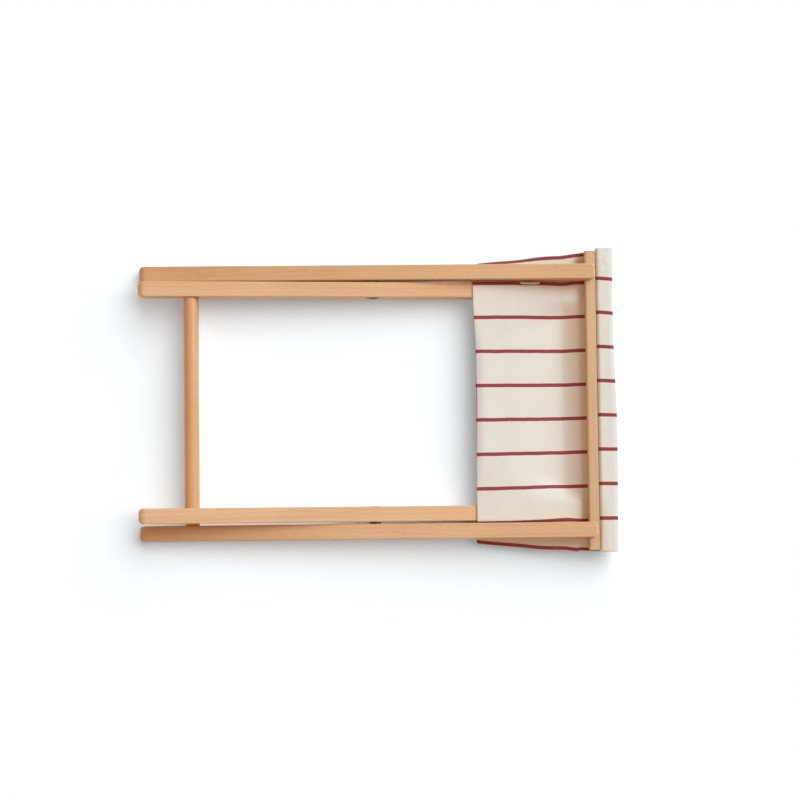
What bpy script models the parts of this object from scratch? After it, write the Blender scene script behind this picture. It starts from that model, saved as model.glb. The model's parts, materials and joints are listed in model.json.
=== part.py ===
# Folding stool: two crossed wooden frames on a pivot, with a striped cloth seat slung between their rails.
# Modelled folded and lying flat: feet at -X, seat rails at +X, the top of the outer frame uppermost.
# Along a leg, u runs from the pivot to the seat rail and w runs out of the fold, away from the cloth.
import math

import bmesh
import bpy
from mathutils import Matrix, Vector

# Fits
GAP = 0.0003                # between pieces that touch
ROUND_SIDES = 24            # facets of a turned piece
ARC_STEPS = 4               # facets of a rounded corner
WIDE_ARC = 0.010            # a corner from this radius up takes as many facets as a turned piece
MERGE = 0.00001             # points closer than this are one

# Legs
LEG_BELOW = 0.268           # pivot to foot
LEG_ABOVE = 0.258           # pivot to top end
LEG_WIDTH = 0.0175
LEG_DEPTH = 0.021
LEG_ARRIS = 0.0025          # rounding of the long edges
ARRIS_SHARE = 0.7           # the most of a half section that it takes at a rounded end
FOOT_RADIUS = 0.008         # rounding of the foot, seen from the side
FOOT_CORNER = 0.0045        # the same, seen from above
TIP_RADIUS = 0.003          # rounding of the top end, seen from the side
TIP_CORNER = 0.0045         # the same, seen from above
INNER_FRAME_WIDTH = 0.2752  # over the inner legs
LEG_GAP = 0.0024            # between an inner and an outer leg

# Stretchers near the feet
DOWEL_DIAMETER = 0.016
DOWEL_INSET = 0.060         # foot to dowel axis
DOWEL_SOCKET = 0.010        # depth of its blind hole
DOWEL_CHAMFER = 0.0008

# Seat rails, let into the legs on the cloth side
RAIL_LENGTH = 0.345
RAIL_DEPTH = 0.0125         # along the leg
RAIL_HEIGHT = 0.010
RAIL_ROUND = 0.002          # of the long edges that face the pivot
RAIL_EDGE = 0.0006          # of the long edges at the batten
SHOULDER_CHAMFER = 0.005    # eases the notch where the cloth bends round it

# Battens beyond the leg ends, which the cloth wraps
BATTEN_DEPTH = 0.0192       # along the leg
BATTEN_HEIGHT = 0.0135
BATTEN_NOSE = 0.0115        # rounding of its outer side
BATTEN_SHOULDER = 0.0035    # rounding of its top edge at the rail
BATTEN_EASE = 0.0008        # chamfer of its ends

# Cloth
CLOTH_WIDTH = 0.346
CLOTH_THICKNESS = 0.0006
SEAT_HALF = 0.160           # batten edge to the fold
SEAT_SAG = 0.0055           # of the upper layer between the inner legs
LOWER_SAG = 0.0085
SAG_RISE = (0.15, 0.80)     # where the sag begins and is full, as shares from fold to rail
SAG_FALL = (0.86, 0.99)     # where it ends, before the rail
HOLLOW_FLAT = 0.4           # share of the half width that sags evenly, at the fold
HOLLOW_GAIN = 0.35          # how much wider that is at the rail
FOLD_ROLL = 0.003           # how far the fold opens between the legs
FOLD_LEAN = 0.00012         # of the cloth from upright, in the gap between the legs
CLAMP_FLAP = 0.0055         # cloth held between batten and rail
TAB_LENGTH = 0.023          # blank sewn tab
TAB_WIDTH = 0.004
TAB_THICKNESS = 0.0006
TAB_FROM_FOLD = 0.0629      # fold to tab
TAB_PAST_LEG = 0.001        # its edge past the side of the inner leg

# Pivot
BOLT_DIAMETER = 0.006
BOLT_HEAD_DIAMETER = 0.0145
BOLT_HEAD_HEIGHT = 0.0018
BOLT_HEAD_CHAMFER = 0.0005
BOLT_HEAD_PROUD = 0.0003    # above the side of the inner leg, which it is let into
BARREL_DIAMETER = 0.009
NUT_CAP_HEIGHT = 0.0018
WASHER_DIAMETER = 0.013

# Screws
SCREW_DIAMETER = 0.0038
SCREW_HEAD_DIAMETER = 0.0074
SCREW_HEAD_HEIGHT = 0.0022
RAIL_SCREW_LENGTH = 0.018
BATTEN_SCREW_LENGTH = 0.025
BATTEN_SCREW_RECESS = 0.005
BATTEN_SCREW_PITCH = 0.110
BATTEN_SCREW_COUNT = 3
SCREW_EDGE = 0.0075         # least distance from a screw to the end of the rail

# Places that follow from the sizes
INNER_LEG_Y = (INNER_FRAME_WIDTH - LEG_WIDTH) / 2
OUTER_LEG_Y = INNER_LEG_Y + LEG_WIDTH + LEG_GAP
GAP_INSIDE_Y = INNER_LEG_Y + LEG_WIDTH / 2
GAP_OUTSIDE_Y = OUTER_LEG_Y - LEG_WIDTH / 2
DOWEL_U = DOWEL_INSET - LEG_BELOW
# Folded, the outer dowel lies under the inner legs: that is what stops the fold.
TILT = math.asin((LEG_DEPTH / 2 + DOWEL_DIAMETER / 2 + GAP) / -DOWEL_U) / 2
LAYER_STEP = CLOTH_THICKNESS + GAP
LAYER_NEAR = GAP + CLOTH_THICKNESS / 2
LAYER_FAR = LAYER_NEAR + LAYER_STEP
RAIL_U = LEG_ABOVE - RAIL_DEPTH
# The cloth lies between the two rails, one layer on each side of the mid-plane.
RAIL_W = (GAP / 2 + CLOTH_THICKNESS + GAP - RAIL_U * math.sin(TILT)) / math.cos(TILT)
RAIL_TOP_W = RAIL_W + RAIL_HEIGHT
BATTEN_U = LEG_ABOVE + GAP + CLOTH_THICKNESS + GAP
BATTEN_END_U = BATTEN_U + BATTEN_DEPTH
BATTEN_TOP_W = RAIL_W + BATTEN_HEIGHT
HINGE_U = BATTEN_END_U + LAYER_NEAR
HINGE_W = RAIL_W - LAYER_NEAR
HINGE_X = HINGE_U * math.cos(TILT) - HINGE_W * math.sin(TILT)
HINGE_Z = HINGE_U * math.sin(TILT) + HINGE_W * math.cos(TILT)
FOLD_X = HINGE_X - SEAT_HALF
RAMP_X = RAIL_U - GAP - SHOULDER_CHAMFER

HANDS = (("left", 1), ("right", -1))

BEECH = (0.70, 0.41, 0.20)
BEECH_DARK = (0.60, 0.33, 0.15)
CANVAS = (0.80, 0.70, 0.59)
BRONZE = (0.10, 0.05, 0.02)
STEEL = (0.55, 0.55, 0.55)


def clear_scene():
    for old in list(bpy.data.objects):
        bpy.data.objects.remove(old)
    for old in list(bpy.data.collections):
        bpy.data.collections.remove(old)


def new_collection(name):
    collection = bpy.data.collections.new(name)
    bpy.context.scene.collection.children.link(collection)
    return collection


def new_material(name, colour, roughness, metallic=0.0):
    material = bpy.data.materials.new(name)
    material.use_nodes = True
    shader = material.node_tree.nodes["Principled BSDF"]
    shader.inputs["Base Color"].default_value = (*colour, 1.0)
    shader.inputs["Roughness"].default_value = roughness
    shader.inputs["Metallic"].default_value = metallic
    material.diffuse_color = (*colour, 1.0)
    return material


def new_empty(name, parent=None, location=(0, 0, 0), turn=0.0):
    empty = bpy.data.objects.new(name, None)
    empty.empty_display_size = 0.03
    empty.location = location
    empty.rotation_euler = (0, turn, 0)
    empty.parent = parent
    parts.objects.link(empty)
    return empty


def new_part(name, mesh, parent, finish, smooth_angle=0.6):
    obj = bpy.data.objects.new(name, mesh)
    obj.parent = parent
    mesh.materials.clear()
    mesh.materials.append(new_material(name, *finish))
    mesh.shade_smooth()
    mesh.set_sharp_from_angle(angle=smooth_angle)
    parts.objects.link(obj)
    return obj


def new_cutter(name, mesh, parent):
    obj = bpy.data.objects.new(name, mesh)
    obj.parent = parent
    obj.hide_render = True
    obj.display_type = "WIRE"
    cutters.objects.link(obj)
    return obj


def cut(obj, *tools):
    for tool in tools:
        boolean = obj.modifiers.new(tool.name, "BOOLEAN")
        boolean.operation = "DIFFERENCE"
        boolean.solver = "EXACT"
        boolean.object = tool


def soften(obj, width, segments=2, angle=0.8):
    bevel = obj.modifiers.new("soft_edges", "BEVEL")
    bevel.width = width
    bevel.segments = segments
    bevel.limit_method = "ANGLE"
    bevel.angle_limit = angle


def rounded(corners, closed=True):
    # Each corner is (u, w, radius); the result replaces round corners with arcs.
    path = []
    last = len(corners) - 1
    for number, (u, w, radius) in enumerate(corners):
        here = Vector((u, w))
        if radius <= 0 or (not closed and number in (0, last)):
            path.append(here)
            continue
        back = (Vector(corners[number - 1][:2]) - here).normalized()
        ahead = (Vector(corners[(number + 1) % len(corners)][:2]) - here).normalized()
        half = back.angle(ahead) / 2
        centre = here + (back + ahead).normalized() * radius / math.sin(half)
        first = here + back * radius / math.tan(half) - centre
        final = here + ahead * radius / math.tan(half) - centre
        steps = ARC_STEPS if radius < WIDE_ARC else ROUND_SIDES // 4
        for step in range(steps + 1):
            share = step / steps
            path.append(centre + (first * (1 - share) + final * share).normalized() * radius)
    return path


def outline_mesh(name, path, width, centre_y=0.0, side=1, filled=True):
    # A flat outline in u and w, extruded along Y; side -1 turns it over for the inner frame.
    curve = bpy.data.curves.new(name, "CURVE")
    curve.dimensions = "2D"
    curve.fill_mode = "BOTH" if filled else "NONE"
    curve.extrude = width / 2
    spline = curve.splines.new("POLY")
    spline.points.add(len(path) - 1)
    for point, (u, w) in zip(spline.points, path):
        point.co = (u, side * w, 0, 1)
    spline.use_cyclic_u = filled
    guide = bpy.data.objects.new(name, curve)
    cutters.objects.link(guide)
    bpy.context.view_layer.update()
    mesh = bpy.data.meshes.new_from_object(guide.evaluated_get(bpy.context.evaluated_depsgraph_get()))
    bpy.data.objects.remove(guide)
    bpy.data.curves.remove(curve)
    mesh.transform(Matrix.Translation((0, centre_y, 0)) @ Matrix.Rotation(math.pi / 2, 4, "X"))
    shape = bmesh.new()
    shape.from_mesh(mesh)
    bmesh.ops.remove_doubles(shape, verts=shape.verts, dist=MERGE)
    bmesh.ops.dissolve_limit(shape, angle_limit=0.001, verts=shape.verts, edges=shape.edges)
    bmesh.ops.recalc_face_normals(shape, faces=shape.faces)
    shape.to_mesh(mesh)
    shape.free()
    return mesh


def rod_mesh(name, start, end, radius, end_radius=None):
    # A cylinder, or a cone where the end radius differs.
    start, end = Vector(start), Vector(end)
    turn = (end - start).to_track_quat("Z", "Y").to_matrix().to_4x4()
    shape = bmesh.new()
    bmesh.ops.create_cone(
        shape,
        cap_ends=True,
        segments=ROUND_SIDES,
        radius1=radius,
        radius2=radius if end_radius is None else end_radius,
        depth=(end - start).length,
        matrix=Matrix.Translation((start + end) / 2) @ turn,
    )
    mesh = bpy.data.meshes.new(name)
    shape.to_mesh(mesh)
    shape.free()
    return mesh


def turned_part(name, profile, parent, location, rotation, finish):
    # A profile of (radius, height) points, from top to bottom, turned about its own Z.
    mesh = bpy.data.meshes.new(name)
    edges = [(number, number + 1) for number in range(len(profile) - 1)]
    mesh.from_pydata([(radius, 0, height) for radius, height in profile], edges, [])
    obj = new_part(name, mesh, parent, finish)
    obj.location = location
    obj.rotation_euler = rotation
    screw = obj.modifiers.new("turn", "SCREW")
    screw.steps = screw.render_steps = ROUND_SIDES
    screw.use_merge_vertices = True
    screw.merge_threshold = MERGE
    screw.use_smooth_shade = True
    return obj


def blend(value, start, end):
    share = min(max((value - start) / (end - start), 0.0), 1.0)
    return share * share * (3 - 2 * share)


def drawn_in(distance, radius):
    # How far a quarter round of this radius draws a side in, at a distance from its end.
    short = max(radius - distance, 0.0)
    return radius - math.sqrt(radius * radius - short * short)


def leg_sections():
    # Places along the leg with its half width and half depth there, from foot to tip.
    foot, tip = max(FOOT_RADIUS, FOOT_CORNER), max(TIP_RADIUS, TIP_CORNER)
    turns = [step / ARC_STEPS * math.pi / 2 for step in range(ARC_STEPS + 1)]
    foot_steps = [foot * (1 - math.cos(turn)) for turn in turns]
    tip_steps = [tip * (1 - math.cos(turn)) for turn in reversed(turns)]
    sections = [(step - LEG_BELOW, step, FOOT_CORNER, FOOT_RADIUS) for step in foot_steps]
    sections += [(LEG_ABOVE - step, step, TIP_CORNER, TIP_RADIUS) for step in tip_steps]
    return [
        (u, LEG_WIDTH / 2 - drawn_in(step, corner), LEG_DEPTH / 2 - drawn_in(step, radius))
        for u, step, corner, radius in sections
    ]


def leg_mesh(name, centre_y):
    # A loft through the leg's sections, each a rectangle with rounded corners.
    shape = bmesh.new()
    loops = []
    for u, half_y, half_w in leg_sections():
        corners = [(half_y, half_w), (-half_y, half_w), (-half_y, -half_w), (half_y, -half_w)]
        arris = min(LEG_ARRIS, ARRIS_SHARE * half_y, ARRIS_SHARE * half_w)
        path = rounded([(y, w, arris) for y, w in corners])
        verts = [shape.verts.new((u, centre_y + y, w)) for y, w in path]
        loops.append([shape.edges.new(pair) for pair in zip(verts, verts[1:] + verts[:1])])
    for first, second in zip(loops, loops[1:]):
        bmesh.ops.bridge_loops(shape, edges=first + second)
    for end in (loops[0], loops[-1]):
        bmesh.ops.contextual_create(shape, geom=end)
    bmesh.ops.recalc_face_normals(shape, faces=shape.faces)
    mesh = bpy.data.meshes.new(name)
    shape.to_mesh(mesh)
    shape.free()
    return mesh


def rail_screw_y(leg_y):
    # In line with the leg, or nearer the middle where a shorter rail ends.
    return min(leg_y, RAIL_LENGTH / 2 - SCREW_EDGE)


def make_leg(frame, which, leg_y, hand, side, empty):
    name = f"{frame}_leg_{which}"
    half = LEG_DEPTH / 2
    leg = new_part(name, leg_mesh(name, hand * leg_y), empty, (BEECH, 0.45))
    over = LEG_DEPTH            # cutters reach this far past the leg
    shoulder_u = RAIL_U - GAP
    notch = [
        Vector((shoulder_u, RAIL_TOP_W + GAP)),
        Vector((shoulder_u, SHOULDER_CHAMFER - half)),
        Vector((shoulder_u - SHOULDER_CHAMFER - over, -half - over)),
        Vector((LEG_ABOVE + over, -half - over)),
        Vector((LEG_ABOVE + over, RAIL_TOP_W + GAP)),
    ]
    tools = [
        new_cutter(
            f"{name}_notch", outline_mesh(name, notch, LEG_WIDTH * 2, hand * leg_y, side), empty
        )
    ]
    inside = hand * (leg_y - LEG_WIDTH / 2)
    outside = hand * (leg_y + LEG_WIDTH / 2)
    socket = inside + hand * DOWEL_SOCKET
    tools.append(new_cutter(f"{name}_socket", rod_mesh(
        name, (DOWEL_U, inside - hand * over, 0), (DOWEL_U, socket, 0), DOWEL_DIAMETER / 2 + GAP
    ), empty))
    shaft = BARREL_DIAMETER if frame == "outer" else BOLT_DIAMETER
    tools.append(new_cutter(f"{name}_bore", rod_mesh(
        name, (0, inside - hand * over, 0), (0, outside + hand * over, 0), shaft / 2 + GAP
    ), empty))
    if frame == "outer":
        recess, mouth = outside - hand * (NUT_CAP_HEIGHT + 2 * GAP), outside + hand * over
    else:
        recess, mouth = inside + hand * (BOLT_HEAD_HEIGHT - BOLT_HEAD_PROUD + GAP), inside - hand * over
    tools.append(new_cutter(f"{name}_recess", rod_mesh(
        name, (0, recess, 0), (0, mouth, 0), BOLT_HEAD_DIAMETER / 2 + GAP
    ), empty))
    screw_u = RAIL_U + RAIL_DEPTH / 2
    screw_y = hand * rail_screw_y(leg_y)
    screw_tip = side * (RAIL_W + RAIL_SCREW_LENGTH + GAP)
    tools.append(new_cutter(f"{name}_pilot", rod_mesh(
        name, (screw_u, screw_y, side * RAIL_W), (screw_u, screw_y, screw_tip), SCREW_DIAMETER / 2 + GAP
    ), empty))
    cut(leg, *tools)


def make_stretcher(frame, leg_y, empty):
    end = leg_y - LEG_WIDTH / 2 + DOWEL_SOCKET - GAP
    name = f"{frame}_stretcher"
    mesh = rod_mesh(name, (DOWEL_U, -end, 0), (DOWEL_U, end, 0), DOWEL_DIAMETER / 2)
    soften(new_part(name, mesh, empty, (BEECH_DARK, 0.45)), DOWEL_CHAMFER, 1)


def screw_profile(length):
    head, shank = SCREW_HEAD_DIAMETER / 2, SCREW_DIAMETER / 2
    return [
        (0, 0),
        (head, 0),
        (shank, -SCREW_HEAD_HEIGHT),
        (shank, shank * 2 - length),
        (0, -length),
    ]


def make_rail(frame, leg_y, side, empty):
    name = f"{frame}_seat_rail"
    section = rounded([
        (RAIL_U, RAIL_W, RAIL_ROUND),
        (LEG_ABOVE, RAIL_W, RAIL_EDGE),
        (LEG_ABOVE, RAIL_TOP_W, RAIL_EDGE),
        (RAIL_U, RAIL_TOP_W, RAIL_ROUND),
    ])
    rail = new_part(
        name, outline_mesh(name, section, RAIL_LENGTH, 0, side), empty, (BEECH_DARK, 0.45)
    )
    soften(rail, RAIL_ROUND / 2, 2)
    screw_u = RAIL_U + RAIL_DEPTH / 2
    head = SCREW_HEAD_DIAMETER / 2 + GAP
    hole = SCREW_DIAMETER / 2 + GAP
    for _, hand in HANDS:
        y = hand * rail_screw_y(leg_y)
        foot, deep = side * (RAIL_W - RAIL_HEIGHT), side * (RAIL_TOP_W + RAIL_HEIGHT)
        sink = side * (RAIL_W + SCREW_HEAD_HEIGHT + GAP)
        cut(
            rail,
            new_cutter(f"{name}_hole", rod_mesh(name, (screw_u, y, foot), (screw_u, y, deep), hole), empty),
            new_cutter(f"{name}_sink", rod_mesh(
                name, (screw_u, y, side * RAIL_W - side * GAP), (screw_u, y, sink), head + GAP, hole
            ), empty),
        )
    cut(rail, *batten_screw_cutters(name, RAIL_U - RAIL_HEIGHT, side, empty))
    for which, hand in HANDS:
        turned_part(
            f"{frame}_rail_screw_{which}",
            screw_profile(RAIL_SCREW_LENGTH),
            empty,
            (screw_u, hand * rail_screw_y(leg_y), side * (RAIL_W + GAP)),
            (0 if side < 0 else math.pi, 0, 0),
            (STEEL, 0.35, 1.0),
        )


def batten_screw_places(side):
    # Y and w of each screw, in a row along the middle of the rail's height.
    middle = (BATTEN_SCREW_COUNT - 1) / 2
    w = side * (RAIL_W + RAIL_HEIGHT / 2)
    return [((number - middle) * BATTEN_SCREW_PITCH, w) for number in range(BATTEN_SCREW_COUNT)]


def batten_screw_cutters(name, start_u, side, empty):
    tools = []
    tip_u = BATTEN_END_U - BATTEN_SCREW_RECESS - BATTEN_SCREW_LENGTH - GAP
    far_u = BATTEN_END_U + BATTEN_DEPTH
    seat_u = BATTEN_END_U - BATTEN_SCREW_RECESS - SCREW_HEAD_HEIGHT - GAP
    for y, w in batten_screw_places(side):
        tools.append(new_cutter(f"{name}_screw_hole", rod_mesh(
            name, (max(tip_u, start_u), y, w), (far_u, y, w), SCREW_DIAMETER / 2 + GAP
        ), empty))
        tools.append(new_cutter(f"{name}_screw_seat", rod_mesh(
            name, (seat_u, y, w), (far_u, y, w), SCREW_HEAD_DIAMETER / 2 + GAP
        ), empty))
    return tools


def batten_corners(offset=0.0):
    # The batten's section, or a line at the given distance outside it, from its nose round to the rail side.
    nose = min(BATTEN_NOSE, BATTEN_HEIGHT - GAP)
    return [
        (BATTEN_END_U + offset, RAIL_W, 0),
        (BATTEN_END_U + offset, BATTEN_TOP_W + offset, nose + offset),
        (BATTEN_U - offset, BATTEN_TOP_W + offset, BATTEN_SHOULDER + offset),
    ]


def make_batten(frame, side, empty):
    name = f"{frame}_cloth_batten"
    section = rounded([*batten_corners(), (BATTEN_U, RAIL_W, 0)])
    mesh = outline_mesh(name, section, RAIL_LENGTH, 0, side)
    batten = new_part(name, mesh, empty, (BEECH, 0.5))
    soften(batten, BATTEN_EASE, 1)
    cut(batten, *batten_screw_cutters(name, RAIL_U, side, empty))
    for number, (y, w) in enumerate(batten_screw_places(side), 1):
        turned_part(
            f"{frame}_batten_screw_{number}",
            screw_profile(BATTEN_SCREW_LENGTH),
            empty,
            (BATTEN_END_U - BATTEN_SCREW_RECESS, y, w),
            (0, math.pi / 2, 0),
            (STEEL, 0.35, 1.0),
        )


def make_sleeve(frame, side, empty):
    # The cloth round the batten: up its nose, over its top and down into the clamp against the rail.
    name = f"{frame}_sleeve"
    corners = batten_corners(LAYER_NEAR)
    flap_end = (BATTEN_U - LAYER_NEAR, BATTEN_TOP_W - CLAMP_FLAP, 0)
    path = rounded([*corners, flap_end], closed=False)
    sleeve = new_part(
        name, outline_mesh(name, path, CLOTH_WIDTH, 0, side, filled=False), empty, (CANVAS, 0.9)
    )
    thicken(sleeve)


def thicken(obj):
    solid = obj.modifiers.new("cloth", "SOLIDIFY")
    solid.thickness = CLOTH_THICKNESS
    solid.offset = 0
    solid.use_even_offset = True


def cloth_heights(x, layer):
    # Height of a cloth layer over the inner legs and under the outer legs. Layer 1 is the upper one.
    leg = (LEG_DEPTH / 2 - x * math.sin(TILT)) / math.cos(TILT)
    upper = layer > 0
    over = leg + (LAYER_FAR if upper else LAYER_NEAR)
    under = -leg - (LAYER_NEAR if upper else LAYER_FAR)
    rail = layer * (x * math.sin(TILT) + HINGE_W) / math.cos(TILT)
    at_rail = blend(x, RAMP_X, RAIL_U)
    return over + (rail - over) * at_rail, under + (rail - under) * at_rail


def seat_section(x, layer):
    # Half of the cloth's cross-section at x, as (y, z) from the middle to the edge.
    # The cloth lies over the inner legs, drops through the gap between legs and goes under the outer ones.
    upper = layer > 0
    over, under = cloth_heights(x, layer)
    middle = (over + under) / 2
    along = min(max((x - FOLD_X) / (RAIL_U - FOLD_X), 0.0), 1.0)
    belly = blend(along, *SAG_RISE) * (1 - blend(along, *SAG_FALL))
    sag = (SEAT_SAG if upper else LOWER_SAG) * belly
    roll = FOLD_ROLL * (1 - blend(along, 0.0, 0.25)) if upper else 0.0
    inner_edge = INNER_LEG_Y - LEG_WIDTH / 2
    points = []
    for share in (0.0, 0.33, 0.62, 0.82, 0.93, 1.0):
        hollow = 1 - blend(share, HOLLOW_FLAT + HOLLOW_GAIN * along, 1.0)
        points.append((inner_edge * share, over + (roll - sag) * hollow))
    points.append((INNER_LEG_Y, over))
    # Down the gap: a bend round each leg's rounded edge, on the layer's own side of the gap.
    drop_y = GAP_OUTSIDE_Y - LAYER_NEAR - FOLD_LEAN if upper else GAP_INSIDE_Y + LAYER_NEAR + FOLD_LEAN
    top_y, foot_y = GAP_INSIDE_Y - LEG_ARRIS, GAP_OUTSIDE_Y + LEG_ARRIS
    top_rise = min(LEG_ARRIS + (LAYER_FAR if upper else LAYER_NEAR), over - middle)
    foot_rise = min(LEG_ARRIS + (LAYER_NEAR if upper else LAYER_FAR), middle - under)
    for turn in (0.0, math.pi / 6, math.pi / 3, math.pi / 2):
        y = top_y + (drop_y - FOLD_LEAN - top_y) * math.sin(turn)
        points.append((y, over - top_rise * (1 - math.cos(turn))))
    for turn in (math.pi / 2, math.pi / 3, math.pi / 6, 0.0):
        y = foot_y + (drop_y + FOLD_LEAN - foot_y) * math.sin(turn)
        points.append((y, under + foot_rise * (1 - math.cos(turn))))
    used = sum(math.dist(a, b) for a, b in zip(points, points[1:]))
    edge = CLOTH_WIDTH / 2 - used
    points += [(foot_y + edge * share, under) for share in (0.4, 1.0)]
    return points


def seat_row(x, layer):
    half = seat_section(x, layer)
    return [Vector((x, -y, z)) for y, z in reversed(half[1:])] + [Vector((x, y, z)) for y, z in half]


def seat_rows(layer):
    # From the batten edge to the fold, then a quarter turn towards the other layer.
    places = [HINGE_X + (RAIL_U - HINGE_X) * share for share in (0.0, 0.5, 1.0)]
    places += [RAIL_U + (RAMP_X - RAIL_U) * share for share in (0.35, 0.65, 1.0)]
    places += [
        RAMP_X + (FOLD_X - RAMP_X) * share
        for share in (0.035, 0.08, 0.15, 0.35, 0.55, 0.72, 0.86, 0.94, 1.0)
    ]
    rows = [seat_row(x, layer) for x in places]
    other = seat_row(FOLD_X, -layer)
    for turn in (math.pi / 5, math.pi / 2.7, math.pi / 2):
        row = []
        for mine, facing in zip(rows[len(places) - 1], other, strict=True):
            across = mine - facing
            middle = (mine + facing + across.normalized() * GAP) / 2
            bulge = Vector((-across.length / 2 * math.sin(turn), 0, 0))
            row.append(middle + (mine - middle) * math.cos(turn) + bulge)
        rows.append(row)
    return rows


def make_seat_half(name, layer, empty):
    # A flat grid whose points are moved onto the folded cloth; its origin is on the batten edge.
    rows = seat_rows(layer)
    across = len(rows[0])
    shape = bmesh.new()
    bmesh.ops.create_grid(shape, x_segments=len(rows) - 1, y_segments=across - 1, size=1)
    origin = Vector((HINGE_X, 0, layer * HINGE_Z))
    for vert in shape.verts:
        row = round((vert.co.x + 1) / 2 * (len(rows) - 1))
        column = round((vert.co.y + 1) / 2 * (across - 1))
        vert.co = rows[row][column] - origin
    mesh = bpy.data.meshes.new(name)
    shape.to_mesh(mesh)
    shape.free()
    thicken(new_part(name, mesh, empty, (CANVAS, 0.9), smooth_angle=1.2))


def make_tab(empty):
    # A blank sewn tab on the upper layer, over the left inner leg.
    x = FOLD_X + TAB_FROM_FOLD
    y = GAP_INSIDE_Y + TAB_PAST_LEG
    z, _ = cloth_heights(x, 1)
    shape = bmesh.new()
    bmesh.ops.create_cube(shape, size=1)
    bmesh.ops.scale(shape, verts=shape.verts, vec=(TAB_LENGTH, TAB_WIDTH, TAB_THICKNESS))
    mesh = bpy.data.meshes.new("label_tab")
    shape.to_mesh(mesh)
    shape.free()
    tab = new_part("label_tab", mesh, empty, (CANVAS, 0.9))
    lift = (CLOTH_THICKNESS + TAB_THICKNESS) / 2 + GAP
    tab.location = (x - HINGE_X, y - TAB_WIDTH / 2, z + lift - HINGE_Z)
    tab.rotation_euler = (0, TILT, 0)


def make_pivot(which, hand, empty):
    head, shank = BOLT_HEAD_DIAMETER / 2, BOLT_DIAMETER / 2
    barrel, cap = BARREL_DIAMETER / 2, BOLT_HEAD_DIAMETER / 2
    head_y = INNER_LEG_Y - LEG_WIDTH / 2 + BOLT_HEAD_HEIGHT - BOLT_HEAD_PROUD
    cap_y = OUTER_LEG_Y + LEG_WIDTH / 2 - NUT_CAP_HEIGHT - GAP
    bolt_length = cap_y - GAP - head_y
    barrel_length = cap_y - GAP_OUTSIDE_Y - GAP
    inwards, outwards = (hand * math.pi / 2, 0, 0), (-hand * math.pi / 2, 0, 0)
    turned_part(f"pivot_bolt_{which}", [
        (0, BOLT_HEAD_HEIGHT),
        (head - BOLT_HEAD_CHAMFER, BOLT_HEAD_HEIGHT),
        (head, BOLT_HEAD_HEIGHT - BOLT_HEAD_CHAMFER),
        (head, 0),
        (shank, 0),
        (shank, -bolt_length),
        (0, -bolt_length),
    ], empty, (0, hand * head_y, 0), inwards, (BRONZE, 0.4, 1.0))
    turned_part(f"pivot_nut_{which}", [
        (0, NUT_CAP_HEIGHT),
        (cap, NUT_CAP_HEIGHT),
        (cap, 0),
        (barrel, 0),
        (barrel, -barrel_length),
        (shank + GAP, -barrel_length),
        (shank + GAP, 0),
        (0, 0),
    ], empty, (0, hand * cap_y, 0), outwards, (BRONZE, 0.4, 1.0))
    washer = WASHER_DIAMETER / 2
    thick = LEG_GAP / 2 - GAP
    turned_part(f"pivot_washer_{which}", [
        (shank + GAP, thick),
        (washer, thick),
        (washer, -thick),
        (shank + GAP, -thick),
        (shank + GAP, thick),
    ], empty, (0, hand * (GAP_INSIDE_Y + GAP_OUTSIDE_Y) / 2, 0), outwards, (BRONZE, 0.5, 1.0))


def make_frame(frame, leg_y, side, empty):
    for which, hand in HANDS:
        make_leg(frame, which, leg_y, hand, side, empty)
    make_stretcher(frame, leg_y, empty)
    make_rail(frame, leg_y, side, empty)
    make_batten(frame, side, empty)
    make_sleeve(frame, side, empty)


def set_on_floor(root):
    # The origin goes to the middle of the underside of the whole stool.
    bpy.context.view_layer.update()
    graph = bpy.context.evaluated_depsgraph_get()
    low, high = Vector([math.inf] * 3), Vector([-math.inf] * 3)
    for obj in parts.objects:
        if obj.type != "MESH":
            continue
        posed = obj.evaluated_get(graph)
        for vert in posed.data.vertices:
            place = posed.matrix_world @ vert.co
            low = Vector(map(min, low, place))
            high = Vector(map(max, high, place))
    root.location = (-(low.x + high.x) / 2, -(low.y + high.y) / 2, -low.z)


clear_scene()
parts = new_collection("folding_stool")
cutters = new_collection("folding_stool_cutters")
stool = new_empty("stool")
inner_pivot = new_empty("inner_pivot", stool, turn=TILT)
outer_pivot = new_empty("outer_pivot", stool, turn=-TILT)
front_edge = new_empty("seat_front_edge", outer_pivot, (HINGE_U, 0, HINGE_W), TILT)
back_edge = new_empty("seat_back_edge", inner_pivot, (HINGE_U, 0, -HINGE_W), -TILT)
make_frame("outer", OUTER_LEG_Y, 1, outer_pivot)
make_frame("inner", INNER_LEG_Y, -1, inner_pivot)
for which, hand in HANDS:
    make_pivot(which, hand, inner_pivot)
make_seat_half("seat_front", 1, front_edge)
make_seat_half("seat_back", -1, back_edge)
make_tab(front_edge)
set_on_floor(stool)
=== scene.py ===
import json
import math

import bmesh
import bpy
from mathutils import Matrix, Vector, noise


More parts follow.
